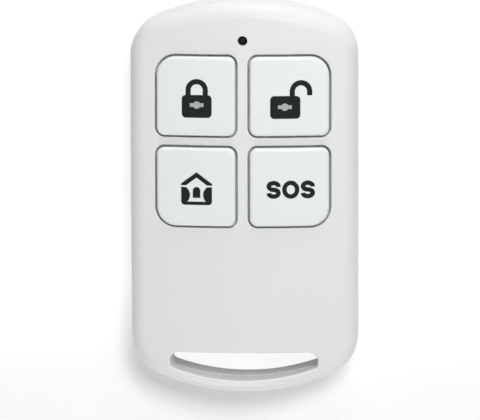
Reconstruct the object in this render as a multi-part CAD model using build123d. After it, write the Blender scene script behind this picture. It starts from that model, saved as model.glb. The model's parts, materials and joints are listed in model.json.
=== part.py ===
"""Alarm key fob: two moulded shells, four sprung keys, a circuit board and a coin cell.

Millimetres. The fob lies on its back: +Z points out of the key face, +Y to the indicator end
and -Y to the lanyard slot. The origin is the middle of the flat back.
"""

import os
from math import atan2, degrees, sqrt

from build123d import *

# Casing
body_length = 61.0
body_width = 35.0
body_depth = 12.0
end_arc_radius = 35.0
corner_radius = 6.5
crown_radius_across = 60.0
crown_radius_along = 250.0
front_edge_radius = 3.0
back_edge_radius = 2.0
parting_height = 5.7
side_wall = 1.5
front_wall = 1.5
back_wall = 1.5
seam_chamfer = 0.2

# Tongue on the back shell and its groove in the front shell
tongue_thickness = 0.7
tongue_height = 0.8
tongue_clearance = 0.1

# Hooks at the indicator end, which hold the shells together there
hook_spacing = 12.0
hook_width = 4.0
hook_thickness = 0.9
hook_bead = 0.35
hook_bead_height = 0.45
hook_ledge = 0.7
hook_clearance = 0.1

# Lanyard slot
slot_width = 22.8
slot_side_height = 2.4
lanyard_bar_width = 2.05
slot_upper_corner_radius = 1.3
slot_lower_corner_radius = 0.8
slot_wall = 1.2
slot_edge_radius = 0.3

# Keys and the windows they stand in
key_width = 12.1
key_length = 12.1
key_outer_corner_radius = 2.95
key_inner_corner_radius = 1.2
key_pitch_across = 14.3
key_pitch_along = 13.95
key_block_lamp_distance = 15.45
key_gap = 0.33
key_proud = 0.5
key_edge_radius = 0.5
key_top_thickness = 1.2
key_skirt_thickness = 1.0
key_flange_overlap = 0.45
key_flange_thickness = 0.7
key_flange_clearance = 0.15
key_post_radius = 1.5
key_post_gap = 0.03
window_edge_radius = 0.15

# Circuit board
board_thickness = 1.0
board_cell_gap = 0.35
board_edge_clearance = 0.4
board_slot_clearance = 0.8
board_hole_clearance = 0.1

# Tactile switches
switch_width = 6.0
switch_base_height = 1.8
switch_height = 3.1
switch_well_radius = 2.3
switch_well_depth = 0.9
switch_cover_thickness = 0.25
switch_flap_width = 3.0
switch_flap_height = 1.3
switch_terminal_spacing = 4.5
switch_terminal_width = 0.7
switch_terminal_thickness = 0.15
switch_terminal_rise = 0.5
switch_terminal_foot = 0.8
stem_radius = 1.6
stem_flange_radius = 2.1
stem_running_gap = 0.06
stem_stop_gap = 0.03
dome_radius = 2.0
dome_rise = 0.4
dome_thickness = 0.1

# Indicator lamp
lamp_hole_radius = 0.75
lamp_end_distance = 6.05
lamp_radius = 1.5
lamp_height = 3.4
lamp_flange_radius = 1.9
lamp_flange_thickness = 0.8
lamp_lead_spacing = 2.54
lamp_lead_width = 0.5
lamp_lead_tail = 1.2
lamp_guide_wall = 0.6
lamp_guide_clearance = 0.1
lamp_guide_gap = 0.2

# Coin cell and its two contacts
cell_radius = 10.0
cell_thickness = 3.2
cell_slot_distance = 13.5
cell_cap_radius = 8.9
cell_cap_height = 0.35
cell_edge_radius = 0.4
clip_thickness = 0.25
clip_width = 5.0
clip_foot = 2.2
clip_floor_gap = 0.1
clip_cell_gap = 0.1
contact_length = 9.0
contact_width = 3.0
contact_thickness = 0.15
contact_cell_gap = 0.02
cradle_clearance = 0.3
cradle_wall = 0.8
cradle_board_gap = 0.8
cradle_clip_clearance = 0.7

# Case screws and their bosses
screw_side_distance = 4.9
screw_slot_distance = 4.5
screw_radius = 0.85
screw_head_radius = 1.6
screw_head_height = 1.1
screw_head_edge_radius = 0.35
screw_length = 6.0
screw_tip_length = 0.8
screw_seat = 2.4
screw_clearance = 0.2
screw_pilot_clearance = 0.05
screw_pilot_extra = 0.5
screw_boss_radius = 2.2

# Pins that place the indicator end of the board, and the front shell's posts above them
pin_side_distance = 5.2
pin_end_distance = 6.5
pin_radius = 0.6
pin_height = 0.8
pin_post_radius = 1.2

# Loop antenna, a copper track on the board
antenna_width = 19.0
antenna_edge_distance = 2.35
antenna_switch_distance = 2.0
antenna_track_width = 1.2
antenna_track_thickness = 0.1
antenna_corner_radius = 2.0
antenna_feed_gap = 1.5

# Moulded packages
package_draw = 0.1
package_standoff = 0.1

# Encoder chip in an eight-lead package
chip_width = 3.9
chip_length = 4.9
chip_height = 1.45
chip_lead_pitch = 1.27
chip_lead_count = 8
chip_lead_width = 0.4
chip_lead_thickness = 0.2
chip_lead_reach = 1.05
chip_across = -9.4
chip_lamp_distance = 7.6

# Resonator in a round metal can
resonator_radius = 4.15
resonator_brim_radius = 4.65
resonator_height = 3.3
resonator_brim_thickness = 0.6
resonator_edge_radius = 0.5
resonator_pin_circle_radius = 2.54
resonator_pin_radius = 0.23
resonator_pin_count = 3
resonator_pin_tail = 0.5
resonator_lamp_distance = 8.5

# Output transistor in a three-lead package
transistor_width = 1.3
transistor_length = 2.9
transistor_height = 1.0
transistor_lead_pitch = 1.9
transistor_lead_width = 0.4
transistor_lead_thickness = 0.12
transistor_lead_reach = 0.55
transistor_across = 8.4
transistor_lamp_distance = 6.3

# Chip resistors and capacitors
small_chip_length = 1.6
small_chip_width = 0.8
resistor_height = 0.45
capacitor_height = 0.8
small_chip_pitch = 2.4
resistor_count = 6
resistor_lamp_distance = 2.1
capacitor_count = 4
capacitor_across = 9.6
capacitor_lamp_distance = 10.6

# Every cut runs this far past the faces that it goes through
overrun = 1.0

# Levels and places that follow from the sizes above
end_arc_centre = body_length / 2 - end_arc_radius
slot_arc_radius = end_arc_radius - lanyard_bar_width
slot_corner = -end_arc_centre - sqrt(slot_arc_radius**2 - (slot_width / 2) ** 2)
slot_top = slot_corner + slot_side_height
lamp_centre = body_length / 2 - lamp_end_distance
key_block_centre = lamp_centre - key_block_lamp_distance
cell_centre = slot_top + cell_slot_distance
cell_bottom = back_wall + clip_floor_gap + clip_thickness
cell_top = cell_bottom + cell_thickness
board_bottom = cell_top + board_cell_gap
board_top = board_bottom + board_thickness
board_inset = side_wall + board_edge_clearance
board_lower_edge = slot_top + slot_wall + board_slot_clearance
base_top = board_top + switch_base_height
stem_top = board_top + switch_height
key_flange_reach = key_gap + key_flange_overlap
key_flange_top = -front_wall - key_flange_clearance
key_flange_bottom = key_flange_top - key_flange_thickness
screw_reach = body_width / 2 - screw_side_distance
screw_places = [(side * screw_reach, slot_top + screw_slot_distance) for side in (-1, 1)]
pin_reach = body_width / 2 - pin_side_distance
pin_places = [(side * pin_reach, body_length / 2 - pin_end_distance) for side in (-1, 1)]
lower_switch_edge = key_block_centre - (key_pitch_along + switch_width) / 2 - switch_terminal_foot
antenna_bottom = board_lower_edge + antenna_edge_distance
antenna_length = lower_switch_edge - antenna_switch_distance - antenna_bottom
antenna_centre = antenna_bottom + antenna_length / 2

# Places behind the board, which hang from the lamp's
chip_place = (chip_across, lamp_centre - chip_lamp_distance)
transistor_place = (transistor_across, lamp_centre - transistor_lamp_distance)
resonator_place = (0, lamp_centre - resonator_lamp_distance)
resistor_place = (0, lamp_centre - resistor_lamp_distance)
capacitor_place = (capacitor_across, lamp_centre - capacitor_lamp_distance)

# Each key's column and row in the block, as steps from its middle
keys = {"arm": (-1, 1), "disarm": (1, 1), "home": (-1, -1), "sos": (1, -1)}


def prism(sketch, low, high):
    """A flat shape raised from one level to another."""
    return Pos(0, 0, low) * extrude(sketch, high - low)


def disc(place, radius):
    return Pos(*place) * Circle(radius)


def slab(across, along, width, length):
    return Pos(across, along) * Rectangle(width, length)


def top_edges(solid):
    return solid.faces().sort_by(Axis.Z)[-1].edges()


def bottom_edges(solid):
    return solid.faces().sort_by(Axis.Z)[0].edges()


def fob_outline(inset=0):
    """The casing's plan: straight sides, an arc at each end, and rounded corners."""
    plan = Sketch()
    for end in (-1, 1):
        half = slab(0, end * body_length / 4, body_width - 2 * inset, body_length / 2)
        plan += half & disc((0, end * end_arc_centre), end_arc_radius - inset)
    return fillet(plan.vertices(), corner_radius - inset)


def slot_outline(growth=0):
    """The lanyard slot: a straight upper edge over an arc that runs parallel to the casing's end."""
    top = slot_top + growth
    plan = slab(0, top - body_width / 2, slot_width + 2 * growth, body_width)
    plan &= disc((0, -end_arc_centre), slot_arc_radius + growth)
    lower = plan.vertices().group_by(Axis.Y)[0]
    plan = fillet(lower, slot_lower_corner_radius + growth)
    upper = plan.vertices().group_by(Axis.Y)[-1]
    return fillet(upper, slot_upper_corner_radius + growth)


def crown_block(offset=0):
    """A block whose upper face is the key face's double curve, raised or sunk by an offset."""
    half_width = body_width / 2 + overrun
    top = body_depth + offset
    along = crown_radius_along + offset
    drop = half_width**2 / (2 * (crown_radius_across + offset))
    shoulder = top - drop
    arc = Bezier((-half_width, shoulder), (0, top + drop), (half_width, shoulder))
    left, right = -half_width, half_width
    sides = Polyline((right, shoulder), (right, -overrun), (left, -overrun), (left, shoulder))
    profile = Plane.XZ * make_face(arc + sides)
    swing = 2 * degrees(atan2(body_length, along))
    axis = Axis((0, 0, top - along), (1, 0, 0))
    return revolve(profile.rotate(axis, -swing / 2), axis, swing)


def crown_slab(sketch, upper, lower):
    """A flat shape raised between two offsets of the crowned key face."""
    return prism(sketch, 0, body_depth + overrun) & crown_block(upper) - crown_block(lower)


def body_form(side_inset, back_inset, front_inset):
    """The whole casing's rounded form, or the same form drawn in by a wall on every side."""
    form = prism(fob_outline(side_inset), back_inset, body_depth + overrun)
    form &= crown_block(-front_inset)
    form = fillet(top_edges(form), front_edge_radius - front_inset)
    return fillet(bottom_edges(form), back_edge_radius - back_inset)


def cavity_form():
    """The space inside the casing, which stops at the wall round the lanyard slot."""
    space = body_form(side_wall, back_wall, front_wall)
    return space - prism(slot_outline(slot_wall), -overrun, body_depth + overrun)


def tongue_ring(clearance=0):
    """The plan of the tongue round the parting line, or of its groove, left out at the hooks."""
    outer = fob_outline(side_wall - tongue_thickness - clearance)
    ring = outer - fob_outline(side_wall + clearance)
    for side in (-1, 1):
        gap = hook_width + 2 * (hook_clearance + tongue_clearance - clearance)
        ring -= slab(side * hook_spacing / 2, body_length / 2, gap, body_width)
    return ring


def hook_plan(outer_inset, inner_inset, clearance=0):
    """A band that follows the indicator end's wall, as wide as each hook."""
    band = fob_outline(outer_inset) - fob_outline(inner_inset)
    tabs = Sketch()
    for side in (-1, 1):
        strip = slab(side * hook_spacing / 2, body_length / 2, hook_width + 2 * clearance, body_width)
        tabs += strip & band
    return tabs


def key_centre(column, row):
    across = column * key_pitch_across / 2
    along = key_block_centre + row * key_pitch_along / 2
    return across, along


def key_outline(column, row, growth=0):
    """A key's plan, with a large corner where it points away from the middle of the block."""
    centre = key_centre(column, row)
    plan = slab(*centre, key_width + 2 * growth, key_length + 2 * growth)
    corners = plan.vertices().sort_by(lambda v: column * v.X + row * v.Y)
    plan = fillet(corners[:-1], key_inner_corner_radius + growth)
    corner = plan.vertices().sort_by(lambda v: column * v.X + row * v.Y)[-1]
    return fillet(corner, key_outer_corner_radius + growth)


def rear_shell():
    """The back half, with its tongue, hooks, cell cradle, screw bosses and locating pins."""
    shell = body_form(0, 0, 0) - cavity_form()
    shell &= prism(Rectangle(body_width, body_length), 0, parting_height)
    shell -= prism(slot_outline(), -overrun, body_depth)
    shell = chamfer(seam_edges(shell), seam_chamfer)
    back_rim = rim_edges(shell, slot_outline(slot_wall / 2), -slot_edge_radius, slot_edge_radius)
    shell = fillet(back_rim, slot_edge_radius)
    shell += prism(tongue_ring(), parting_height, parting_height + tongue_height)
    shell += hooks()
    shell += cell_cradle()
    for place in screw_places:
        shell += prism(disc(place, screw_boss_radius), back_wall, board_bottom)
        shell -= prism(disc(place, screw_head_radius + screw_clearance), -overrun, screw_seat)
        shell -= prism(disc(place, screw_radius + screw_clearance), 0, board_bottom + overrun)
    for place in pin_places:
        shell += prism(disc(place, pin_post_radius), back_wall, board_bottom)
        shell += prism(disc(place, pin_radius), board_bottom, board_bottom + pin_height)
    return shell


def flat(edge):
    """The middle of an edge, brought down to the plan."""
    middle = edge @ (1 / 2)
    return Vector(middle.X, middle.Y, 0)


def level_edges(shell, low, high):
    """The edges of a shell that run along it between two levels, and not up its walls."""
    boxes = [(edge, edge.bounding_box()) for edge in shell.edges()]
    return [edge for edge, box in boxes if box.min.Z > low and box.max.Z < high]


def seam_edges(shell):
    """The outer rim of a shell and the rim of its slot, at the parting line."""
    outside = fob_outline(side_wall / 2).face()
    slot = slot_outline(slot_wall / 2).face()
    rim = level_edges(shell, parting_height - seam_chamfer, parting_height + seam_chamfer)
    return [edge for edge in rim if not outside.is_inside(flat(edge)) or slot.is_inside(flat(edge))]


def rim_edges(shell, plan, low, high):
    """The edges between two levels that lie inside a plan, such as the rim of an opening."""
    return [edge for edge in level_edges(shell, low, high) if plan.face().is_inside(flat(edge))]


def hooks():
    """Two tabs that stand up inside the indicator end, each with a bead along its outer face."""
    ledge_top = parting_height + hook_ledge
    bead_top = ledge_top + hook_clearance + hook_bead_height
    tabs = prism(hook_plan(side_wall, side_wall + hook_thickness), back_wall, bead_top)
    beads = prism(hook_plan(side_wall - hook_bead, side_wall), ledge_top + hook_clearance, bead_top)
    return tabs + beads


def hook_pockets():
    """The pockets in the front shell's end wall that the beads of the hooks snap into."""
    ledge_top = parting_height + hook_ledge
    top = ledge_top + 2 * hook_clearance + hook_bead_height
    plan = hook_plan(side_wall - hook_bead - hook_clearance, side_wall + hook_thickness, hook_clearance)
    return prism(plan, ledge_top, top)


def cell_cradle():
    """A ring wall that the coin cell drops into, open at both sides for the positive clip."""
    inner = cell_radius + cradle_clearance
    ring = disc((0, cell_centre), inner + cradle_wall) - disc((0, cell_centre), inner)
    ring -= slab(0, cell_centre, body_width, clip_width + 2 * cradle_clip_clearance)
    return prism(ring, back_wall, board_bottom - cradle_board_gap)


def front_shell():
    """The key face: windows, lamp hole, groove, pilot bosses and the posts that hold the board down."""
    cavity = cavity_form()
    shell = body_form(0, 0, 0) - cavity
    shell &= prism(Rectangle(body_width, body_length), parting_height, body_depth + overrun)
    shell -= prism(slot_outline(), 0, body_depth + overrun)
    shell = chamfer(seam_edges(shell), seam_chamfer)
    front_rim = rim_edges(shell, slot_outline(slot_wall / 2), board_top, body_depth)
    shell = fillet(front_rim, slot_edge_radius)
    groove_top = parting_height + tongue_height + tongue_clearance
    shell -= prism(tongue_ring(tongue_clearance), parting_height - overrun, groove_top)
    shell -= hook_pockets()
    for column, row in keys.values():
        shell -= prism(key_outline(column, row, key_gap), board_top, body_depth + overrun)
    shell = fillet(window_rims(shell), window_edge_radius)
    shell += posts_and_guide() & cavity
    pilot_top = screw_seat + screw_length + screw_pilot_extra
    for place in screw_places:
        shell -= prism(disc(place, screw_radius + screw_pilot_clearance), parting_height, pilot_top)
    shell -= lamp_form(lamp_guide_clearance)
    return shell - prism(disc((0, lamp_centre), lamp_hole_radius), board_top, body_depth + overrun)


def window_rims(shell):
    """The upper edges of the four key windows, found on the crowned face."""
    face = shell.faces().sort_by(Axis.Z)[-1]
    rims = []
    for column, row in keys.values():
        window = key_outline(column, row, key_gap + window_edge_radius).face()
        rims += [edge for edge in face.edges() if window.is_inside(flat(edge))]
    return rims


def posts_and_guide():
    """Screw bosses, hold-down posts and the lamp's guide, drawn long and cut off by the cavity."""
    inside = Part()
    for place in screw_places:
        inside += prism(disc(place, screw_boss_radius), board_top, body_depth)
    for place in pin_places:
        inside += prism(disc(place, pin_post_radius), board_top, body_depth)
    guide_radius = lamp_radius + lamp_guide_clearance + lamp_guide_wall
    guide_bottom = board_top + lamp_flange_thickness + lamp_guide_gap
    return inside + prism(disc((0, lamp_centre), guide_radius), guide_bottom, body_depth)


def key_cap(column, row):
    """A hollow key with a flange that stops it under the face, and a post that meets the switch.

    The right-hand keys are the mirror images of the left-hand ones.
    """
    if column > 0:
        return mirror(key_cap(-column, row), about=Plane.YZ)
    cap = crown_slab(key_outline(column, row), key_proud, key_flange_bottom)
    cap = fillet(top_edges(cap), key_edge_radius)
    cap += crown_slab(key_outline(column, row, key_flange_reach), key_flange_top, key_flange_bottom)
    ceiling = key_proud - key_top_thickness
    hollow = key_outline(column, row, -key_skirt_thickness)
    cap -= crown_slab(hollow, ceiling, key_flange_bottom - overrun)
    post = prism(disc(key_centre(column, row), key_post_radius), stem_top + key_post_gap, body_depth)
    return cap + (post & crown_block(ceiling + key_top_thickness / 2))


def switch_base(place):
    """The moulded box of a tactile switch, with the round well that its dome sits in."""
    base = prism(slab(*place, switch_width, switch_width), board_top, base_top)
    return base - prism(disc(place, switch_well_radius), base_top - switch_well_depth, base_top + overrun)


def switch_terminals(place):
    """Four bent leads, two on each side, whose feet lie on the board."""
    group = []
    for side in (-1, 1):
        for step in (-1, 1):
            lead = bent_lead(
                switch_terminal_foot, switch_terminal_rise, switch_terminal_thickness, switch_terminal_width
            )
            across = place[0] + step * switch_terminal_spacing / 2
            along = place[1] + side * switch_width / 2
            turn = 90 * side
            group.append(Pos(across, along, board_top) * Rot(0, 0, turn) * lead)
    return group


def bent_lead(foot, rise, thickness, width):
    """A lead that comes down beside a package and turns outwards along +X on the board."""
    points = [(0, 0), (foot, 0), (foot, thickness), (thickness, thickness), (thickness, rise), (0, rise)]
    profile = Plane.XZ * make_face(Polyline(*points, close=True))
    return extrude(profile, width / 2, both=True)


def switch_dome(place):
    """The sprung steel disc under the stem, a shallow part of a sphere."""
    ball = (dome_radius**2 + dome_rise**2) / (2 * dome_rise)
    well_floor = base_top - switch_well_depth
    centre = well_floor + dome_rise - ball
    shell = Sphere(ball) - Sphere(ball - dome_thickness)
    return Pos(*place, 0) * (Pos(0, 0, centre) * shell & prism(Circle(dome_radius), well_floor, base_top))


def switch_stem(place):
    """The plunger: a flange kept in by the metal cover, and the round end that the key presses."""
    bottom = base_top - switch_well_depth + dome_rise + stem_stop_gap
    stem = prism(disc(place, stem_flange_radius), bottom, base_top - stem_stop_gap)
    return stem + prism(disc(place, stem_radius), bottom, stem_top)


def switch_cover(place):
    """The steel plate over the base, with a flap clinched down two of its sides."""
    across, along = place
    top = base_top + switch_cover_thickness
    width = switch_width + 2 * switch_cover_thickness
    plate = slab(across, along, switch_width, switch_width) + slab(across, along, width, switch_flap_width)
    cover = prism(plate, base_top, top)
    for side in (-1, 1):
        edge = across + side * (switch_width + switch_cover_thickness) / 2
        flap = slab(edge, along, switch_cover_thickness, switch_flap_width)
        cover += prism(flap, top - switch_flap_height, top)
    return cover - prism(disc(place, stem_radius + stem_running_gap), board_top, top + overrun)


def circuit_board():
    """The board's plan follows the casing, with holes for screws, pins and leads."""
    plan = fob_outline(board_inset)
    plan &= slab(0, board_lower_edge + body_length / 2, body_width, body_length)
    plan -= hook_plan(0, side_wall + hook_thickness + board_edge_clearance, board_edge_clearance)
    for place in screw_places:
        plan -= disc(place, screw_radius + board_hole_clearance)
    for place in pin_places:
        plan -= disc(place, pin_radius + board_hole_clearance)
    for place in lamp_lead_places():
        plan -= disc(place, lamp_lead_width / sqrt(2) + board_hole_clearance)
    for place in resonator_pin_places():
        plan -= disc(place, resonator_pin_radius + board_hole_clearance)
    return prism(plan, board_bottom, board_top)


def antenna_loop():
    """An open loop of copper on the board's key side."""
    inner_width = antenna_width - 2 * antenna_track_width
    inner_length = antenna_length - 2 * antenna_track_width
    loop = RectangleRounded(antenna_width, antenna_length, antenna_corner_radius)
    loop -= RectangleRounded(inner_width, inner_length, antenna_corner_radius - antenna_track_width)
    loop -= slab(0, antenna_length / 2, antenna_feed_gap, 2 * antenna_track_width + overrun)
    return prism(Pos(0, antenna_centre) * loop, board_top, board_top + antenna_track_thickness)


def lamp_form(growth=0):
    """The lamp's round body under its dome, or the space it needs, without the flange."""
    radius = lamp_radius + growth
    shoulder = board_top + lamp_height - lamp_radius
    body = prism(Circle(radius), board_top, shoulder) + Pos(0, 0, shoulder) * Sphere(radius)
    return Pos(0, lamp_centre) * body


def indicator_led():
    flange = disc((0, lamp_centre), lamp_flange_radius)
    return lamp_form() + prism(flange, board_top, board_top + lamp_flange_thickness)


def lamp_lead_places():
    return [(side * lamp_lead_spacing / 2, lamp_centre) for side in (-1, 1)]


def led_leads():
    """Two square wires from the lamp's base, through the board and cut off short behind it."""
    low = board_bottom - lamp_lead_tail
    wires = [slab(*place, lamp_lead_width, lamp_lead_width) for place in lamp_lead_places()]
    return [prism(wire, low, board_top) for wire in wires]


def behind_board(piece, place):
    """A piece drawn standing on the plan, hung upside down from the back of the board."""
    return Pos(*place, board_bottom) * Rot(0, 180, 0) * piece


def package(width, length, height):
    """A small moulded package, its upper half drawn in slightly."""
    plan = Rectangle(width, length)
    draw_angle = degrees(atan2(package_draw, height / 2))
    high = Pos(0, 0, height / 2) * extrude(plan, height / 2, taper=draw_angle)
    return prism(plan, package_standoff, height / 2) + high


def encoder_chip():
    chip = package(chip_width, chip_length, chip_height)
    return behind_board(chip, chip_place)


def encoder_chip_leads():
    """A row of bent leads down each long side of the chip."""
    lead = gull_lead(chip_lead_reach, chip_height / 2, chip_lead_thickness, chip_lead_width)
    group = []
    for side in (-1, 1):
        for step in range(chip_lead_count // 2):
            along = (step - (chip_lead_count // 2 - 1) / 2) * chip_lead_pitch
            turn = 90 * (1 - side)
            placed = Pos(side * chip_width / 2, along) * Rot(0, 0, turn) * lead
            group.append(behind_board(placed, chip_place))
    return group


def gull_lead(reach, height, thickness, width):
    """A lead that leaves a package along +X at half its height and steps down to the board."""
    knee = reach / 2
    points = [
        (0, height), (knee, height), (knee, thickness), (reach, thickness), (reach, 0),
        (knee - thickness, 0), (knee - thickness, height - thickness), (0, height - thickness),
    ]
    profile = Plane.XZ * make_face(Polyline(*points, close=True))
    return extrude(profile, width / 2, both=True)


def resonator_can():
    """A drawn metal can: a thin brim against the board and a rounded cap."""
    brim = prism(Circle(resonator_brim_radius), 0, resonator_brim_thickness)
    cap = prism(Circle(resonator_radius), 0, resonator_height)
    cap = fillet(top_edges(cap), resonator_edge_radius)
    return behind_board(brim + cap, resonator_place)


def resonator_pin_places():
    spots = PolarLocations(resonator_pin_circle_radius, resonator_pin_count)
    centre = Vector(*resonator_place)
    return [((spot.position + centre).X, (spot.position + centre).Y) for spot in spots]


def resonator_pins():
    """Straight pins from the can through the board, cut off just above it."""
    top = board_top + resonator_pin_tail
    return [prism(disc(place, resonator_pin_radius), board_bottom, top) for place in resonator_pin_places()]


def output_transistor():
    body = package(transistor_width, transistor_length, transistor_height)
    return behind_board(body, transistor_place)


def transistor_leads():
    """Two leads on one side and one on the other."""
    middle = transistor_height / 2
    lead = gull_lead(transistor_lead_reach, middle, transistor_lead_thickness, transistor_lead_width)
    group = []
    for side, step in ((-1, 0), (1, -1), (1, 1)):
        turn = 90 * (1 - side)
        along = step * transistor_lead_pitch / 2
        placed = Pos(side * transistor_width / 2, along) * Rot(0, 0, turn) * lead
        group.append(behind_board(placed, transistor_place))
    return group


def small_chips(count, height, middle):
    """A row of chip parts behind the board."""
    chip = prism(Rectangle(small_chip_width, small_chip_length), 0, height)
    across, along = middle
    steps = [(step - (count - 1) / 2) * small_chip_pitch for step in range(count)]
    return [behind_board(chip, (across + step, along)) for step in steps]


def coin_cell():
    """A flat can with its narrower negative cap towards the board."""
    can = prism(Circle(cell_radius), cell_bottom, cell_top - cell_cap_height)
    can = fillet(bottom_edges(can), cell_edge_radius)
    cap = prism(Circle(cell_cap_radius), cell_top - cell_cap_height, cell_top)
    return Pos(0, cell_centre) * (can + cap)


def positive_clip():
    """A sprung strap under the cell, folded up beside it and soldered to the board by its feet."""
    inner = cell_radius + clip_cell_gap
    outer = inner + clip_thickness
    floor = cell_bottom - clip_thickness
    step = board_bottom - clip_thickness
    side = [(inner, cell_bottom), (inner, board_bottom), (outer + clip_foot, board_bottom)]
    side += [(outer + clip_foot, step), (outer, step), (outer, floor)]
    mirrored = [(-x, z) for x, z in reversed(side)]
    profile = Plane.XZ * make_face(Polyline(*side, *mirrored, close=True))
    return Pos(0, cell_centre) * extrude(profile, clip_width / 2, both=True)


def negative_contact():
    """A bowed leaf that fills the gap between the board and the cell's cap."""
    half = contact_length / 2
    bow = board_bottom - cell_top - contact_cell_gap - contact_thickness
    low = board_bottom - contact_thickness
    under = ThreePointArc((-half, low), (0, low - bow), (half, low))
    over = ThreePointArc((half, board_bottom), (0, board_bottom - bow), (-half, board_bottom))
    ends = Line((half, low), (half, board_bottom)) + Line((-half, board_bottom), (-half, low))
    profile = Plane.XZ * make_face(under + over + ends)
    return Pos(0, cell_centre) * extrude(profile, contact_width / 2, both=True)


def case_screw(place):
    """A self-tapping screw driven from the back: pan head, shank and pointed tip."""
    tip = screw_seat + screw_length
    neck = tip - screw_tip_length
    low = screw_seat - screw_head_height
    points = [
        (0, low), (screw_head_radius, low), (screw_head_radius, screw_seat), (screw_radius, screw_seat),
        (screw_radius, neck), (0, tip),
    ]
    profile = Plane.XZ * make_face(Polyline(*points, close=True))
    screw = revolve(profile, Axis.Z)
    rim = screw.edges().filter_by(GeomType.CIRCLE).sort_by(Axis.Z)[0]
    return Pos(*place) * fillet(rim, screw_head_edge_radius)


def sub_parts():
    """Every piece by its name."""
    pieces = {"front_shell": front_shell(), "rear_shell": rear_shell()}
    for name, (column, row) in keys.items():
        place = key_centre(column, row)
        pieces[f"{name}_key"] = key_cap(column, row)
        pieces[f"{name}_switch_base"] = switch_base(place)
        pieces[f"{name}_switch_terminals"] = switch_terminals(place)
        pieces[f"{name}_switch_dome"] = switch_dome(place)
        pieces[f"{name}_switch_stem"] = switch_stem(place)
        pieces[f"{name}_switch_cover"] = switch_cover(place)
    pieces["circuit_board"] = circuit_board()
    pieces["antenna_loop"] = antenna_loop()
    pieces["indicator_led"] = indicator_led()
    pieces["led_leads"] = led_leads()
    pieces["encoder_chip"] = encoder_chip()
    pieces["encoder_chip_leads"] = encoder_chip_leads()
    pieces["resonator_can"] = resonator_can()
    pieces["resonator_pins"] = resonator_pins()
    pieces["output_transistor"] = output_transistor()
    pieces["transistor_leads"] = transistor_leads()
    pieces["chip_resistors"] = small_chips(resistor_count, resistor_height, resistor_place)
    pieces["chip_capacitors"] = small_chips(capacitor_count, capacitor_height, capacitor_place)
    pieces["coin_cell"] = coin_cell()
    pieces["positive_clip"] = positive_clip()
    pieces["negative_contact"] = negative_contact()
    pieces["case_screws"] = [case_screw(place) for place in screw_places]
    return pieces


def main():
    os.makedirs("parts", exist_ok=True)
    for name, piece in sub_parts().items():
        solids = piece if isinstance(piece, list) else [piece]
        node = Compound([solid for group in solids for solid in group.solids()])
        node.label = name
        export_step(node, f"parts/{name}.step")
        print(name, len(node.solids()), round(node.volume, 2))


main()
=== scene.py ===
# %% [markdown]
# This is the alarm key fob as it looks: a small white remote control that hangs on a key ring. Its
# working solids come packed. This file gives them their finishes and adds what is only looks: the
# printed marks on the keys, the screws with their threads, a table, lights and a camera.
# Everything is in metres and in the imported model's own frame: the fob lies on its back, +Z comes
# out of the key face, +Y points to the indicator lamp and -Y to the lanyard slot.

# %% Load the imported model
import json
from math import cos, pi, radians, sin

import bmesh
import bpy
from mathutils import Matrix, Vector


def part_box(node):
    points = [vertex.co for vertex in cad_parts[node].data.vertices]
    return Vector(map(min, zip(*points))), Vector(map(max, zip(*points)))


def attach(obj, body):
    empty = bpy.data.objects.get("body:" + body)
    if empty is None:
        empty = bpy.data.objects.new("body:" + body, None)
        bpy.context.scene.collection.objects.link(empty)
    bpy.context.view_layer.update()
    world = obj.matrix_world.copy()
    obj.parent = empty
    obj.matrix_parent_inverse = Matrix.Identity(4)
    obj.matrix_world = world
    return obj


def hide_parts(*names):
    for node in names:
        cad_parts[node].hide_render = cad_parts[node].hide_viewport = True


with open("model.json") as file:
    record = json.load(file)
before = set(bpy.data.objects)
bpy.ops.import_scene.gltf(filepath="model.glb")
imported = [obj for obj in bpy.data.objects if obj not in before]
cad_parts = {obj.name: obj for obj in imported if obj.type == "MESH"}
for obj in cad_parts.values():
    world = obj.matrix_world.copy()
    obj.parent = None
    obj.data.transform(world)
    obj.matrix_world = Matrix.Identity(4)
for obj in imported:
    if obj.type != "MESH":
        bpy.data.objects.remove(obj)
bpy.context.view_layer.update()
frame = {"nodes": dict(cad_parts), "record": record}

mm = 0.001
nodes = frame["nodes"]


def in_mm(place):
    """A place or a size in rounded millimetres, for printing."""
    return tuple(round(v / mm, 2) for v in place)


# %% [markdown]
# The camera comes first, because every later choice is judged through it. The fob is photographed
# from almost straight above, from a little towards the lamp's end and a little to the right. A
# tilt and a turn away from straight above say that best, and the camera's axes follow from them.
# The long lens keeps the sides nearly parallel, as a product photograph does, and a small shift
# frames the fob as the photograph does.

# %% Place the camera
camera_tilt = radians(8.31)
camera_turn = radians(2.88)
camera_roll = radians(-0.2)
camera_distance = 757 * mm
looked_at = Vector((0, 0, 6 * mm))
sensor_width = 36
lens_length = 367.5
picture_shift = (-0.0095, -0.0315)
view_depth = 10

towards_camera = Vector((
    sin(camera_turn),
    sin(camera_tilt) * cos(camera_turn),
    cos(camera_tilt) * cos(camera_turn),
)).normalized()
level_right = Vector((0, 1, 0)).cross(towards_camera).normalized()
level_up = towards_camera.cross(level_right)
right = level_right * cos(camera_roll) + level_up * sin(camera_roll)
up = level_up * cos(camera_roll) - level_right * sin(camera_roll)

bpy.ops.object.select_all(action="DESELECT")
bpy.ops.object.camera_add(location=looked_at + towards_camera * camera_distance)
camera = bpy.context.object
camera.name = "camera"
camera.rotation_euler = Matrix((right, up, towards_camera)).transposed().to_euler()
camera.data.sensor_width = sensor_width
camera.data.lens = lens_length
camera.data.shift_x, camera.data.shift_y = picture_shift
camera.data.clip_end = view_depth
bpy.context.scene.camera = camera
print("camera at", in_mm(camera.location), "mm")

# %% [markdown]
# Materials are built from nodes, and the sums between the nodes are easier to read as Python. This
# class wraps one socket. An operator on it adds the Math node that works the sum out, mix adds the
# node that blends two colours, and node adds any other kind from its type, its settings and the
# values or links of its sockets. A Mix node has its colours at sockets 6 and 7, after those for
# plain numbers and vectors, and its blended colour is output 2.

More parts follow.
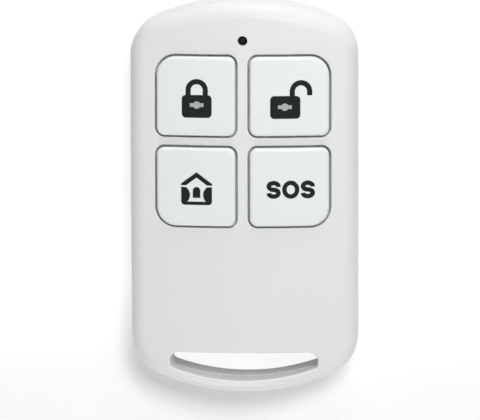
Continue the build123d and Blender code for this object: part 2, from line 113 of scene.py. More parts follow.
# %% Wrap a socket so that Python's operators work on it
class Shade:
    def __init__(self, tree, socket=None):
        self.tree = tree
        self.socket = socket

    def node(self, kind, settings=None, sockets=None, output=0):
        """Adds a node, sets it, fills its sockets and gives back one of its outputs."""
        made = self.tree.nodes.new(kind)
        for name, value in (settings or {}).items():
            setattr(made, name, value)
        for name, value in (sockets or {}).items():
            if isinstance(value, Shade):
                self.tree.links.new(value.socket, made.inputs[name])
            else:
                made.inputs[name].default_value = value
        return Shade(self.tree, made.outputs[output])

    def mix(self, first, second):
        """The first colour where this value is 0, and the second where it is 1."""
        first, second = ((*c, 1) if isinstance(c, tuple) else c for c in (first, second))
        return self.node("ShaderNodeMix", {"data_type": "RGBA"}, {0: self, 6: first, 7: second}, 2)

    def sum(self, operation, first, second):
        return self.node("ShaderNodeMath", {"operation": operation}, {0: first, 1: second})

    def __add__(self, other):
        return self.sum("ADD", self, other)

    def __radd__(self, other):
        return self.sum("ADD", other, self)

    def __mul__(self, other):
        return self.sum("MULTIPLY", self, other)

    def __rmul__(self, other):
        return self.sum("MULTIPLY", other, self)

    def __gt__(self, other):
        return self.sum("GREATER_THAN", self, other)


print("a Shade works out +, * and > with Math nodes")

# %% [markdown]
# Each finish is one material with one Principled shader. Patterns are read in object coordinates,
# which are metres here, so a noise with a scale of 4000 has grains a quarter of a millimetre wide.
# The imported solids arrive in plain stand-ins that hold the finishes' names, and Blender would give
# a second material of the same name a number, so the stand-ins go first. The first helper starts a
# material and hands back its shader, an empty Shade to add nodes with, and the place that patterns
# are read at.

# %% Start a material
stand_ins = list(bpy.data.materials)
for stand_in in stand_ins:
    bpy.data.materials.remove(stand_in)
print("stand-ins removed", len(stand_ins))


def new_finish(name, **constants):
    """A material with a Principled shader whose constant sockets are set by name."""
    material = bpy.data.materials.new(name)
    material.use_nodes = True
    tree = material.node_tree
    shader = tree.nodes["Principled BSDF"]
    for constant, value in constants.items():
        label = constant.replace("_", " ").title().replace("Ior", "IOR")
        shader.inputs[label].default_value = value
    pen = Shade(tree)
    place = pen.node("ShaderNodeTexCoord", output="Object")
    return material, shader, pen, place


def plug(shader, socket, shade):
    shade.tree.links.new(shade.socket, shader.inputs[socket])


def noise(pen, place, scale, detail=2, roughness=0.5):
    sockets = {"Vector": place, "Scale": scale, "Detail": detail, "Roughness": roughness}
    return pen.node("ShaderNodeTexNoise", sockets=sockets, output="Fac")


def bump(pen, height, strength, depth):
    sockets = {"Height": height, "Strength": strength, "Distance": depth}
    return pen.node("ShaderNodeBump", sockets=sockets)


def spread(middle, pattern, width):
    """A value that a pattern from 0 to 1 spreads evenly round its middle."""
    return middle - width / 2 + pattern * width


def times(colour, factor):
    """A colour made lighter or darker by a factor."""
    return tuple(v * factor for v in colour)

# %% [markdown]
# The shells are white ABS moulded in a spark-eroded tool, so their surface is covered in tiny
# rounded craters about a third of a millimetre wide, which sparkle where the light grazes them.
# Two noises of different scales make the craters, and a third, slow one lets the white drift a
# little, as a moulding does. The keys come from a polished tool in a slightly cooler white, so
# their texture is far weaker.

# %% Mix the white plastics
def moulded_plastic(name, colour, drift, roughness, grain, texture, depth):
    """White plastic: its colour and how far that drifts, its gloss, and its grain and texture."""
    material, shader, pen, place = new_finish(name, ior=1.5, specular_ior_level=0.32)
    slow = noise(pen, place, 90, detail=3)
    craters = noise(pen, place, grain, detail=3, roughness=0.6)
    fine = noise(pen, place, grain * 2.7, roughness=0.6)
    plug(shader, "Base Color", slow.mix(times(colour, 1 - drift), times(colour, 1 + drift)))
    plug(shader, "Roughness", spread(roughness, craters, 0.12))
    plug(shader, "Normal", bump(pen, craters * 0.7 + fine * 0.3, texture, depth))
    return material


shell_plastic = moulded_plastic(
    "shell_plastic", (0.79, 0.80, 0.80), drift=0.015, roughness=0.40,
    grain=3000, texture=0.8, depth=0.03 * mm,
)
key_plastic = moulded_plastic(
    "key_plastic", (0.83, 0.855, 0.855), drift=0.008, roughness=0.36,
    grain=2600, texture=0.25, depth=0.008 * mm,
)
print("plastics", shell_plastic.name, key_plastic.name)

# %% [markdown]
# The marks are pad printed in a dark grey ink, and the padlocks' keyholes in a lighter grey. Ink
# that has dried on plastic is slightly uneven, so its grey and its gloss wander over a few tenths
# of a millimetre. The stems and the moulded packages inside are dark plastics with a dull,
# fine-grained skin. The lamp is epoxy in a near-black that is partly its own dark tint and partly
# painted shade, the shade of the deep lamp hole, so it looks black until it lights. A dark surface
# shows every reflection of a white studio, so the inks and the lamp have a low specular level.

# %% Mix the inks and the dark plastics
def dark_plastic(name, colour, roughness, grain, texture=0.2, **constants):
    """Ink or dark plastic: its colour, its gloss, and its grain and texture."""
    material, shader, pen, place = new_finish(name, ior=1.5, **constants)
    speck = noise(pen, place, grain, detail=3)
    lighter = tuple(v + 0.001 for v in times(colour, 1.4))
    plug(shader, "Base Color", speck.mix(colour, lighter))
    plug(shader, "Roughness", spread(roughness, speck, 0.16))
    plug(shader, "Normal", bump(pen, speck, texture, 0.01 * mm))
    return material


legend_ink = dark_plastic(
    "legend_ink", (0.010, 0.0125, 0.013), roughness=0.65, grain=3500, specular_ior_level=0.1,
)
keyhole_grey = dark_plastic(
    "keyhole_grey", (0.34, 0.355, 0.355), roughness=0.6, grain=3500, specular_ior_level=0.2,
)
black_moulding = dark_plastic(
    "black_moulding", (0.016, 0.016, 0.018), roughness=0.55, grain=6000,
)
stem_moulding = dark_plastic(
    "stem_moulding", (0.045, 0.045, 0.05), roughness=0.40, grain=3000,
)
# The lamp's near-black is partly its dark tint and partly painted shade for the deep hole it sits
# in.
lamp_epoxy = dark_plastic(
    "lamp_epoxy", (0.004, 0.004, 0.005), roughness=0.12, grain=900, texture=0.05,
    specular_ior_level=0.25,
)
print("inks", legend_ink.name, keyhole_grey.name)
print("dark plastics", black_moulding.name, stem_moulding.name, lamp_epoxy.name)

# %% [markdown]
# The metals inside differ in colour and in how they were worked. Rolled strip for clips, leads and
# the switch covers shows fine lines along one direction, which a noise stretched with a Mapping
# node gives. A metal has no colour but its reflection, so the lines go into roughness and a
# shallow bump, and only faintly into the colour.

# %% Mix the metals
def worked_metal(name, colour, roughness, stretch, grain=5000):
    """A metal whose grain runs along the direction that the stretch makes short."""
    material, shader, pen, place = new_finish(name, metallic=1.0)
    along = pen.node("ShaderNodeMapping", sockets={"Vector": place, "Scale": stretch})
    lines = noise(pen, along, grain, detail=3, roughness=0.6)
    stain = noise(pen, place, 300)
    plug(shader, "Base Color", (stain * 0.6 + lines * 0.4).mix(times(colour, 0.86), colour))
    plug(shader, "Roughness", spread(roughness, lines, 0.14))
    plug(shader, "Normal", bump(pen, lines, 0.3, 0.004 * mm))
    return material


copper_track = worked_metal(
    "copper_track", (0.72, 0.40, 0.20), roughness=0.34, stretch=(1, 1, 1), grain=2500,
)
tinned_metal = worked_metal(
    "tinned_metal", (0.74, 0.75, 0.76), roughness=0.30, stretch=(1, 0.08, 1),
)
spring_steel = worked_metal(
    "spring_steel", (0.62, 0.63, 0.64), roughness=0.24, stretch=(0.05, 1, 1),
)
screw_steel = worked_metal(
    "screw_steel", (0.36, 0.36, 0.37), roughness=0.33, stretch=(1, 1, 0.3), grain=3000,
)
print("metals", copper_track.name, tinned_metal.name, spring_steel.name, screw_steel.name)

# %% [markdown]
# A coin cell's can is turned from nickel-plated steel, so its flat face shows fine rings round its
# middle. A Wave texture makes rings round the origin, and a Mapping node brings the cell's middle
# there. Fine specks mark where the plating is thin.

# %% Mix the coin cell's steel
cell_low, cell_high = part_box("coin_cell")
cell_middle = (cell_low + cell_high) / 2

cell_steel, shader, pen, place = new_finish("cell_steel", metallic=1.0)
centred = pen.node("ShaderNodeMapping", sockets={"Vector": place, "Location": -cell_middle})
ring_settings = {"wave_type": "RINGS", "rings_direction": "Z"}
ring_sockets = {"Vector": centred, "Scale": 1400, "Distortion": 0.3}
rings = pen.node("ShaderNodeTexWave", ring_settings, ring_sockets, "Fac")
specks = noise(pen, place, 1500, detail=4)
nickel = (rings * 0.4 + specks * 0.6).mix((0.60, 0.60, 0.59), (0.74, 0.74, 0.73))
plug(shader, "Base Color", nickel)
plug(shader, "Roughness", 0.24 + rings * 0.08 + specks * 0.06)
plug(shader, "Normal", bump(pen, rings, 0.25, 0.003 * mm))
print("coin cell", cell_steel.name, "round", in_mm(cell_middle), "mm")

# %% [markdown]
# The board is glass laminate under a green solder mask. Where copper lies below the mask the green
# is lighter, and round it the laminate shows darker. A Voronoi texture with nearly square cells
# looks much like pours and tracks, and its edges make the small steps that tracks press into the
# mask. The chip capacitors are fired ceramic, a dull tan with a fine sandy grain.

# %% Mix the board and the ceramic
board_laminate, shader, pen, place = new_finish("board_laminate", ior=1.5, coat_weight=0.25)
pour_settings = {"feature": "DISTANCE_TO_EDGE"}
pour_sockets = {"Vector": place, "Scale": 420, "Randomness": 0.35}
copper = pen.node("ShaderNodeTexVoronoi", pour_settings, pour_sockets) > 0.07
weave = noise(pen, place, 2600)
green = copper.mix((0.012, 0.075, 0.035), (0.03, 0.19, 0.09))
plug(shader, "Base Color", (weave * 0.25).mix(green, (0.02, 0.12, 0.06)))
plug(shader, "Roughness", 0.30 + weave * 0.12)
plug(shader, "Normal", bump(pen, copper + weave * 0.1, 0.5, 0.02 * mm))

chip_ceramic, shader, pen, place = new_finish("chip_ceramic", ior=1.6)
sand = noise(pen, place, 7000, detail=4)
plug(shader, "Base Color", sand.mix((0.46, 0.34, 0.22), (0.60, 0.47, 0.32)))
plug(shader, "Roughness", 0.5 + sand * 0.2)
plug(shader, "Normal", bump(pen, sand, 0.3, 0.01 * mm))
print("board and ceramic", board_laminate.name, chip_ceramic.name)

# %% [markdown]
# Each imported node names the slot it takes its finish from. The finishes above carry the same
# names, so one loop paints every node, and a name that was missed would stop the script here.

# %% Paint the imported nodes
for part in frame["record"]["subparts"]:
    node = nodes[part["node"]]
    finish = bpy.data.materials[part["material_slot"]]
    node.data.materials.clear()
    node.data.materials.append(finish)

# %% [markdown]
# Every piece below is modelled as by hand: a primitive at its size and place, shaped in edit mode
# and finished with modifiers. These helpers save lines. The first one leaves only the named pieces
# selected, the second names a new primitive and moves its place into its mesh, and the third adds
# a modifier and applies it.

# %% Helpers that name and finish a piece
def only(*pieces):
    """Object mode, with these pieces selected and the first one active."""
    if bpy.context.object and bpy.context.object.mode != "OBJECT":
        bpy.ops.object.mode_set(mode="OBJECT")
    bpy.ops.object.select_all(action="DESELECT")
    for piece in pieces:
        piece.select_set(True)
    if pieces:
        bpy.context.view_layer.objects.active = pieces[0]


def named(name):
    """Names the primitive just added and moves its place, turn and size into its mesh."""
    piece = bpy.context.object
    piece.name = name
    piece.data.name = name
    only(piece)
    bpy.ops.object.transform_apply(location=True, rotation=True, scale=True)
    return piece


def modify(piece, kind, **settings):
    """Adds a modifier, sets it and applies it."""
    only(piece)
    modifier = piece.modifiers.new(kind.lower(), kind)
    for name, value in settings.items():
        setattr(modifier, name, value)
    bpy.ops.object.modifier_apply(modifier=modifier.name)

# %% [markdown]
# The marks are printed on keys whose tops are curved, so a flat sticker would float at one edge
# and sink at the other. Each mark is cut from a film of ink instead. The film starts as a fine
# grid above the key, Shrinkwrap drops it straight down onto the key's top, and Solidify makes it
# four hundredths of a millimetre thick, half of it above the key. The mark's outline is then an
# upright block that crosses the film, and a Boolean keeps what the two share.

# %% Drop a film of ink onto each key
film_thickness = 0.04 * mm
film_size = 9.4 * mm
film_cells = 36
drop_height = 14 * mm
marked_keys = ("arm_key", "disarm_key", "home_key", "sos_key")

middles = {}
for key in marked_keys:
    low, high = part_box(key)
    middles[key] = Vector(((low.x + high.x) / 2, (low.y + high.y) / 2, 0))


def ink_film(key):
    """A thin sheet that lies on a key's curved top."""
    only()
    bpy.ops.mesh.primitive_grid_add(
        x_subdivisions=film_cells, y_subdivisions=film_cells, size=film_size,
        location=middles[key] + Vector((0, 0, drop_height)),
    )
    film = named(key.replace("key", "film"))
    modify(film, "SHRINKWRAP", target=nodes[key], wrap_method="PROJECT",
           use_project_z=True, use_negative_direction=True, use_positive_direction=False)
    modify(film, "SOLIDIFY", thickness=film_thickness, offset=0)
    return film


films = {key: ink_film(key) for key in marked_keys}
for key, film in films.items():
    levels = [v.co.z for v in film.data.vertices]
    print(key, "film from and to", in_mm((min(levels), max(levels))), "mm")

# %% [markdown]
# The outlines need four more helpers. One opens edit mode with only what passes a test selected,
# one cuts a piece with another by a Boolean, one copies a piece with its own mesh, and one turns a
# place in millimetres into a move in metres.

# %% Helpers that select, cut and copy
hair = 0.01 * mm


def pick(piece, kind, test):
    """Edit mode, with only the VERT, EDGE or FACE elements selected whose middle passes a test."""
    only(piece)
    bpy.ops.object.mode_set(mode="EDIT")
    bpy.ops.mesh.select_mode(type=kind)
    bpy.ops.mesh.select_all(action="DESELECT")
    mesh = bmesh.from_edit_mesh(piece.data)
    elements = {"VERT": mesh.verts, "EDGE": mesh.edges, "FACE": mesh.faces}[kind]
    for element in elements:
        corners = [element] if kind == "VERT" else element.verts
        if test(sum((corner.co for corner in corners), Vector()) / len(corners)):
            element.select_set(True)
    mesh.select_flush_mode()
    bmesh.update_edit_mesh(piece.data)


def cut(piece, other, operation="DIFFERENCE"):
    """Cuts, joins or crosses a piece with another one, which is used up."""
    modify(piece, "BOOLEAN", object=other, operation=operation, solver="EXACT")
    bpy.data.objects.remove(other)


def copied(piece, name, move=(0, 0, 0)):
    """A copy with its own mesh, which is moved."""
    twin = piece.copy()
    twin.data = piece.data.copy()
    twin.name = name
    twin.data.name = name
    bpy.context.scene.collection.objects.link(twin)
    twin.data.transform(Matrix.Translation(move))
    return twin


def in_metres(place, level=0):
    """A place of two numbers in millimetres, as a vector in metres at a level."""
    return Vector((place[0] * mm, place[1] * mm, level))

# %% [markdown]
# The two padlocks share three shapes, so each is modelled once and copied. The body is a block
# with its four upright edges rounded. The keyhole is a bar with a round swelling in its middle.
# All are measured in millimetres from the middle of their key, and all stand tall enough to cross
# the film.

# %% Shape the padlock's body and keyhole
cutter_low = 8 * mm
cutter_high = 13 * mm
cutter_height = cutter_high - cutter_low
cutter_level = (cutter_low + cutter_high) / 2


def upright_block(name, middle, width, length):
    """A block that stands through the film, at a place in millimetres."""
    only()
    bpy.ops.mesh.primitive_cube_add(
        size=1, location=in_metres(middle, cutter_level),
        scale=(width * mm, length * mm, cutter_height),
    )
    return named(name)


def upright_post(name, middle, radius, corners=48):
    """A round post that stands through the film, at a place in millimetres."""
    only()
    bpy.ops.mesh.primitive_cylinder_add(
        vertices=corners, radius=radius * mm, depth=cutter_height,
        location=in_metres(middle, cutter_level),
    )
    return named(name)


def round_uprights(block, radius, test=lambda middle: True, segments=8):
    """Rounds the upright edges whose middle passes a test."""
    pick(block, "EDGE", lambda m: abs(m.z - cutter_level) < cutter_height / 4 and test(m))
    bpy.ops.mesh.bevel(offset=radius * mm, segments=segments, affect="EDGES")
    only(block)


body_corner = 0.62
keyhole_middle = (0.15, -1.29)
swelling_radius = 0.57

lock_body = upright_block("lock_body", (0.145, -1.5), width=4.61, length=3.48)
round_uprights(lock_body, body_corner)
keyhole = upright_block("keyhole", keyhole_middle, width=2.12, length=0.58)
cut(keyhole, upright_post("keyhole_swelling", keyhole_middle, swelling_radius), "UNION")
print("lock body faces", len(lock_body.data.polygons), "keyhole faces", len(keyhole.data.polygons))

# %% [markdown]
# The shackle is a wall on end: a short upright plane for one leg, spun through half a turn, drawn
# down for the other leg, and then thickened evenly. In this Blender, spin turns clockwise for a
# positive angle.

# %% Shape the shackle
shackle_middle = (0.15, 0.97)
shackle_radius = 1.325
shackle_width = 0.79
shackle_foot = -0.2


def upright_wall(name, start, end):
    """A plane on end between two places in millimetres, which spin and extrude lengthen."""
    only()
    run = Vector(end) - Vector(start)
    middle = (Vector(start) + Vector(end)) / 2
    bpy.ops.mesh.primitive_plane_add(
        size=1, location=in_metres(middle, cutter_level),
        rotation=(pi / 2, 0, Vector((run.x, run.y)).angle_signed(Vector((1, 0)))),
    )
    bpy.context.object.scale = (run.length * mm, cutter_height, 1)
    return named(name)


def spin_end(wall, end, centre, angle, steps=24):
    """Carries the wall on round a centre, from the end at a place in millimetres."""
    place = in_metres(end, cutter_level)
    pick(wall, "EDGE", lambda m: (m - place).length < hair)
    bpy.ops.mesh.spin(steps=steps, angle=-angle, center=in_metres(centre), axis=(0, 0, 1))


def thicken(wall, thickness):
    """Gives a wall an even thickness in millimetres, half of it on each side."""
    modify(wall, "SOLIDIFY", thickness=thickness * mm, offset=0, use_even_offset=True)


leg_end = (shackle_middle[0] + shackle_radius, shackle_middle[1])
shackle = upright_wall("shackle", (leg_end[0], shackle_foot), leg_end)
spin_end(shackle, leg_end, shackle_middle, pi)
bpy.ops.mesh.extrude_region_move(
    TRANSFORM_OT_translate={"value": (0, (shackle_foot - shackle_middle[1]) * mm, 0)}
)
only(shackle)
thicken(shackle, shackle_width)
print("shackle faces", len(shackle.data.polygons))

# %% [markdown]
# A mark is what its outline shares with a copy of the key's film, and it rides on the key. In the
# closed padlock both legs of the shackle stand in the body. The keyhole is left out of the dark
# mark and printed in grey in its place.

# %% Print the closed padlock
def stamp(key, outline, part="mark", finish=legend_ink):
    """Prints what an outline shares with a copy of a key's film, and makes it ride on the key."""
    print_ = copied(films[key], key.replace("key", part))
    cut(print_, outline, "INTERSECT")
    print_.data.materials.append(finish)
    only(print_)
    bpy.ops.object.shade_smooth_by_angle(angle=radians(30))
    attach(print_, key.replace("_key", "_key_cap"))
    finish == legend_ink
    print(print_.name, "faces", len(print_.data.polygons))


arm_middle = middles["arm_key"]
closed_lock = copied(lock_body, "closed_lock", arm_middle)
cut(closed_lock, copied(shackle, "closed_shackle", arm_middle), "UNION")
cut(closed_lock, copied(keyhole, "closed_keyhole", arm_middle))
stamp("arm_key", closed_lock)
stamp("arm_key", copied(keyhole, "closed_keyhole", arm_middle), "keyhole", keyhole_grey)

# %% [markdown]
# The open padlock has the same shackle, moved to the right. Both legs are cut off level just above
# the body. A short block then roots the left one in the body, and the right one hangs free.

# %% Print the open padlock
body_move = (-0.73, -0.11)
keyhole_move = (-0.79, -0.28)
shackle_move = (1.66, -0.16)
free_leg_end = 0.2
root_length = 1


def cut_level(piece, place, normal):
    """Cuts a piece at a place in millimetres, and keeps what lies along the normal."""
    pick(piece, "FACE", lambda m: True)
    bpy.ops.mesh.bisect(
        plane_co=[v * mm for v in place], plane_no=normal, use_fill=True, clear_inner=True,
    )
    only(piece)


open_shackle = copied(shackle, "open_shackle", in_metres(shackle_move))
cut_level(open_shackle, (0, free_leg_end, 0), (0, 1, 0))
held_leg = shackle_middle[0] - shackle_radius + shackle_move[0]
leg_root = upright_block("leg_root", (held_leg, 0), shackle_width, root_length)
cut(open_shackle, leg_root, "UNION")

disarm_middle = middles["disarm_key"]
open_lock = copied(lock_body, "open_lock", in_metres(body_move))
cut(open_lock, open_shackle, "UNION")
open_lock.data.transform(Matrix.Translation(disarm_middle))
keyhole_place = disarm_middle + in_metres(keyhole_move)
cut(open_lock, copied(keyhole, "open_keyhole", keyhole_place))
stamp("disarm_key", open_lock)
stamp("disarm_key", copied(keyhole, "open_keyhole", keyhole_place), "keyhole", keyhole_grey)
for used in (lock_body, shackle, keyhole):
    bpy.data.objects.remove(used)

# %% [markdown]
# The home key shows a little house. Its roof is a wall on end from one eave over the ridge to the
# other, thickened and then cut off level at the eaves. Its front is a block with round lower
# corners, out of which the light field is taken, and two round posts left standing at the field's
# sides make the curtains. The door is a block whose upper edges are rounded until they nearly meet
# in an arch.

# %% Raise the roof
ridge_level = 1.925
eave_reach = 2.9
eave_level = 0.3
roof_slope = 0.745
roof_thickness = 0.66
roof_half_width = 2.42

eave_drop = eave_reach * roof_slope
roof = upright_wall("roof", (-eave_reach, ridge_level - eave_drop), (0, ridge_level))
pick(roof, "EDGE", lambda m: abs(m.x) < hair)
bpy.ops.mesh.extrude_region_move(
    TRANSFORM_OT_translate={"value": (eave_reach * mm, -eave_drop * mm, 0)}
)
only(roof)
thicken(roof, roof_thickness)
cut_level(roof, (0, eave_level, 0), (0, 1, 0))
for side in (-1, 1):
    cut_level(roof, (side * roof_half_width, 0, 0), (-side, 0, 0))
print("roof faces", len(roof.data.polygons))

# %% Print the house
front_middle = (0, -1.345)
front_corner = 0.54
curtain_middle = (2.44, -1.18)
curtain_radius = 1.43
door_middle = (0, -0.785)
door_corner = 0.57
house_move = (0.09, 0)

house = upright_block("house", front_middle, width=4.76, length=2.75)
round_uprights(house, front_corner, lambda m: m.y < front_middle[1] * mm)
field = upright_block("field", (0, -1.01), width=3.9, length=2.42)
for side in (-1, 1):
    curtain_place = (side * curtain_middle[0], curtain_middle[1])
    cut(field, upright_post("curtain", curtain_place, curtain_radius, corners=96))
cut(house, field)
door = upright_block("door", door_middle, width=1.155, length=1.67)
round_uprights(door, door_corner, lambda m: m.y > door_middle[1] * mm, segments=12)
only(house, roof, door)
bpy.ops.object.join()
house.data.transform(Matrix.Translation(middles["home_key"] + in_metres(house_move)))
stamp("home_key", house)

# %% [markdown]
# The last key carries the distress call SOS in plain upright letters of one stroke width, drawn
# here from arcs. The S is a wall on end: a short straight start, three quarters of a turn one way,
# and three quarters the other way. It is stretched sideways first and thickened after, so that its
# stroke keeps one width. It is modelled once and copied, and the O is an open cylinder treated in
# the same way. After the last mark the films themselves are removed, because the marks were cut
# from copies.

# %% Print the distress call
bowl_radius = 0.52
straight_start = 0.08
letter_stretch = 1.43
stroke_width = 0.68
o_radii = (0.965, 1.06)
first_s_move = (-2.37, 0)
o_move = (0.25, 0)
second_s_move = (2.85, 0)
word_move = (0, -0.31)

stroke_start = (bowl_radius, bowl_radius - straight_start)
letter_s = upright_wall("letter_s", stroke_start, (bowl_radius, bowl_radius))
spin_end(letter_s, (bowl_radius, bowl_radius), (0, bowl_radius), 1.5 * pi)
spin_end(letter_s, (0, 0), (0, -bowl_radius), -1.5 * pi)
only(letter_s)
letter_s.scale.x = letter_stretch
bpy.ops.object.transform_apply(location=False, rotation=False, scale=True)
thicken(letter_s, stroke_width)

only()
bpy.ops.mesh.primitive_cylinder_add(
    vertices=72, radius=1 * mm, depth=cutter_height, end_fill_type="NOTHING",
    location=(0, 0, cutter_level), scale=(*o_radii, 1),
)
letter_o = named("letter_o")
thicken(letter_o, stroke_width)

second_s = copied(letter_s, "second_s", in_metres(second_s_move))
letter_s.data.transform(Matrix.Translation(in_metres(first_s_move)))
letter_o.data.transform(Matrix.Translation(in_metres(o_move)))
only(letter_s, letter_o, second_s)
bpy.ops.object.join()
letter_s.data.transform(Matrix.Translation(middles["sos_key"] + in_metres(word_move)))
stamp("sos_key", letter_s)
for film in films.values():
    bpy.data.objects.remove(film)

# %% [markdown]
# The two case screws hide their threads in the shells, but their heads show in the back. The
# packed screws are plain, so a detailed one stands for them. It points upwards from the origin.
# Its head is a cylinder with a rounded rim, and its core is drawn out of the head's upper face and
# narrows to a tip.

# %% Turn a screw
screws_low, screws_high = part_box("case_screws")
screw_length = screws_high.z - screws_low.z
head_radius = 1.6 * mm
head_height = 1.1 * mm
head_rounding = 0.35 * mm
core_radius = 0.6 * mm
tip_length = 0.8 * mm
tip_taper = 0.25

only()
bpy.ops.mesh.primitive_cylinder_add(
    vertices=48, radius=head_radius, depth=head_height, location=(0, 0, head_height / 2),
)
screw = named("case_screw_left")
pick(screw, "EDGE", lambda m: m.z < hair)
bpy.ops.mesh.bevel(offset=head_rounding, segments=5, affect="EDGES")
pick(screw, "FACE", lambda m: m.z > head_height - hair)
bpy.ops.mesh.inset(thickness=head_radius - core_radius, depth=0)
for rise in (screw_length - head_height - tip_length, tip_length):
    bpy.ops.mesh.extrude_region_move(TRANSFORM_OT_translate={"value": (0, 0, rise)})
pick(screw, "VERT", lambda m: m.z > screw_length - hair)
bpy.ops.transform.resize(
    value=(tip_taper, tip_taper, 1), center_override=(0, 0, screw_length),
)
only(screw)
print("screw length in mm", round(screw_length / mm, 2), "faces", len(screw.data.polygons))

# %% [markdown]
# The cross recess is cut with two bars that narrow towards its floor. The thread is a small
# triangle, turned so that its flat side faces outwards, that the Screw modifier winds round the
# core. It starts a little beyond the head.

# %% Cut the cross recess and wind the thread
recess_depth = 0.7 * mm
recess_length = 1.9 * mm
recess_width = 0.45 * mm
recess_taper = 0.55
thread_start = 0.35 * mm
thread_pitch = 0.65 * mm
thread_turns = 7
ridge_radius = 0.2 * mm
ridge_distance = 0.65 * mm

bars = {"slot_across": (recess_length, recess_width), "slot_along": (recess_width, recess_length)}
for name, size in bars.items():
    only()
    bpy.ops.mesh.primitive_cube_add(size=1, location=(0, 0, 0), scale=(*size, 2 * recess_depth))
    bar = named(name)
    pick(bar, "FACE", lambda m: m.z > recess_depth - hair)
    bpy.ops.transform.resize(
        value=(recess_taper, recess_taper, 1), center_override=(0, 0, recess_depth),
    )
    cut(screw, bar)

only()
ridge_middle = (ridge_distance, 0, head_height + thread_start)
bpy.ops.mesh.primitive_circle_add(
    vertices=3, radius=ridge_radius, fill_type="NGON",
    location=ridge_middle, rotation=(pi / 2, 0, 0),
)
thread = named("thread")
pick(thread, "FACE", lambda m: True)
bpy.ops.transform.rotate(value=pi / 2, orient_axis="Y", center_override=ridge_middle)
modify(thread, "SCREW", axis="Z", angle=2 * pi, screw_offset=thread_pitch,
       iterations=thread_turns, steps=24, render_steps=24, use_normal_calculate=True)
reach = max(Vector((v.co.x, v.co.y, 0)).length for v in thread.data.vertices)
print("thread reaches in mm", round(reach / mm, 3))

# %% [markdown]
# Head, core and thread become one mesh with its faces turned outwards. A copy then goes to the
# right screw's place and the first one to the left screw's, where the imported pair's box says, and
# both ride on the casing.

# %% Place both screws
only(screw, thread)
bpy.ops.object.join()
pick(screw, "FACE", lambda m: True)
bpy.ops.mesh.normals_make_consistent(inside=False)
only(screw)
bpy.ops.object.shade_smooth_by_angle(angle=radians(35))
screw.data.materials.append(screw_steel)

screw_reach = screws_high.x - head_radius
screw_middle_y = (screws_low.y + screws_high.y) / 2
right_screw = copied(screw, "case_screw_right", (screw_reach, screw_middle_y, screws_low.z))
screw.data.transform(Matrix.Translation((-screw_reach, screw_middle_y, screws_low.z)))
for piece in (screw, right_screw):
    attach(piece, "casing")
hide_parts("case_screws")
print("screws at x and y", in_mm((screw_reach, screw_middle_y)), "mm")

# %% [markdown]
# The fob lies on a white table, and part of that white is painted light, as the next cells show.
# One big plane is enough, a hair below the fob's back so that the two faces don't fight.

# %% Lay the table
table_size = 1.6
table_drop = 0.02 * mm

only()
bpy.ops.mesh.primitive_plane_add(size=table_size, location=(0, 0, -table_drop))
table = named("table")
print("table", table_size, "m wide and", round(table_drop / mm, 2), "mm below the fob")

# %% [markdown]
# The table should look pure white round the fob, with only the shadow at the lower end showing.
# More light would wash out the fob itself, so part of the table's white is painted light: a glow
# that only camera, glossy and transmission rays meet, and that lights nothing. The glow's share is
# larger beside the fob, where this painted light washes the fob's shadow out, and falls off slowly
# towards the lower end, where the shadow stays. Within the lanyard slot's outline it is nearly all
# of the white, so the shaded table seen through the slot is painted white. In the open, both
# always add up to white.

# %% Mark the table's zones
slot_arc_middle = (0, 4.5 * mm, -table_drop)
slot_arc_fade = (33.3 * mm, 32.9 * mm)
slot_top_fade = (-24 * mm, -24.6 * mm)
slot_side_fade = (12 * mm, 11.5 * mm)
lower_end_fade = (-12 * mm, -33 * mm)

table_white, shader, pen, place = new_finish(
    "table_white", specular_ior_level=0.2, emission_strength=1,
)


def fade(value, start, end):
    """0 before the start, 1 past the end, and a smooth step between them."""
    settings = {"interpolation_type": "SMOOTHSTEP"}
    sockets = {"Value": value, "From Min": start, "From Max": end}
    return pen.node("ShaderNodeMapRange", settings, sockets)


across = pen.node("ShaderNodeSeparateXYZ", sockets={"Vector": place}, output="X")
along = pen.node("ShaderNodeSeparateXYZ", sockets={"Vector": place}, output="Y")
from_arc_middle = pen.node(
    "ShaderNodeVectorMath", {"operation": "DISTANCE"}, {0: place, 1: slot_arc_middle}, "Value",
)
# This mask marks the slot's outline, where painted light makes the shaded table seen through the
# slot white.
slot_painted_light_mask = fade(from_arc_middle, *slot_arc_fade) * fade(along, *slot_top_fade)
for side in (-1, 1):
    slot_painted_light_mask = slot_painted_light_mask * fade(across, *(side * edge for edge in slot_side_fade))
# Beside the fob the painted light washes its shadow out, and towards the lower end it fades so that
# the shadow stays.
below_end = fade(along, *lower_end_fade)
print("nodes that mark the zones", len(pen.tree.nodes))

# %% Finish the table
def grey(level):
    return (level, level, level)


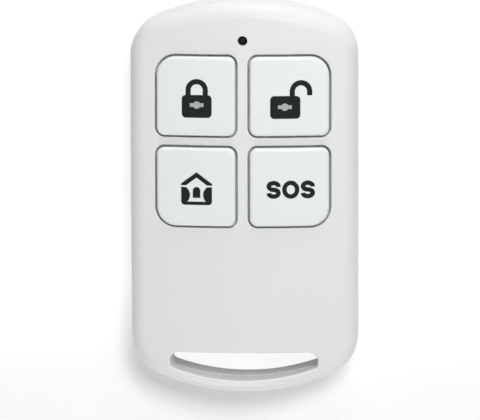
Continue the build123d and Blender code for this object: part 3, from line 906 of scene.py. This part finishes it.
def zones(beside, below, slot):
    """A grey that goes from its level beside the fob to those below its end and in its slot."""
    return slot_painted_light_mask.mix(below_end.mix(grey(beside), grey(below)), grey(slot))


def seen_rays(pen):
    """1 on rays from the camera, from a mirror or through glass, and 0 on rays that only light."""
    kinds = ("Is Camera Ray", "Is Glossy Ray", "Is Transmission Ray")
    direct, reflected, through = (pen.node("ShaderNodeLightPath", output=kind) for kind in kinds)
    return direct + reflected + through


plug(shader, "Base Color", zones(beside=0.5, below=0.95, slot=0.2))
plug(shader, "Roughness", 0.6 + noise(pen, place, 6) * 0.05)
# The glow is painted light: only the camera and reflections see it, and it washes out the shadow
# beside the fob and in the slot.
painted_glow = zones(beside=0.64, below=0.06, slot=0.9)
plug(shader, "Emission Color", seen_rays(pen).mix(grey(0), painted_glow))
table.data.materials.append(table_white)
print("table finish", table_white.name)

# %% [markdown]
# The photograph's light is nearly frontal and very soft. It comes a little from the right, which
# leaves the face's left edge greyer, and a little from beyond the lamp's end, which lights the
# upper rim. Four softboxes give that: the main one high above, a weak one from the right, and two
# low ones, one beyond each end, that light the rounded rims. They stand about 1.6 metres away, so
# that their light doesn't fall off along the fob.

# %% Light it
softbox_side = 0.6


def softbox(name, place, watts):
    """A square area light at a place in metres, turned to the fob."""
    only()
    bpy.ops.object.light_add(type="AREA", location=place)
    light = bpy.context.object
    light.name = name
    light.data.size = softbox_side
    light.data.energy = watts
    light.rotation_euler = Vector(place).to_track_quat("Z", "Y").to_euler()


softbox("main_softbox", (0.35, 0.75, 1.4), 13.5)
softbox("right_softbox", (1.0, 0.2, 1.2), 1.8)
softbox("far_softbox", (0.1, 1.6, 0.3), 9.2)
softbox("near_softbox", (-0.3, -1.5, 0.45), 9)

# %% [markdown]
# The world is a plain pale grey that only fills in the shade, and it is white to the camera and to
# reflections. The Standard view shows colours as they are written.

# %% Surround it with white
world_fill = 0.31

world = bpy.data.worlds.new("studio")
world.use_nodes = True
bpy.context.scene.world = world
pen = Shade(world.node_tree)
background = world.node_tree.nodes["Background"]
background.inputs["Color"].default_value = (1, 1, 1, 1)
plug(background, "Strength", world_fill + seen_rays(pen) * (1 - world_fill))

bpy.context.scene.view_settings.view_transform = "Standard"
print("world", world.name, "fills in with", world_fill)
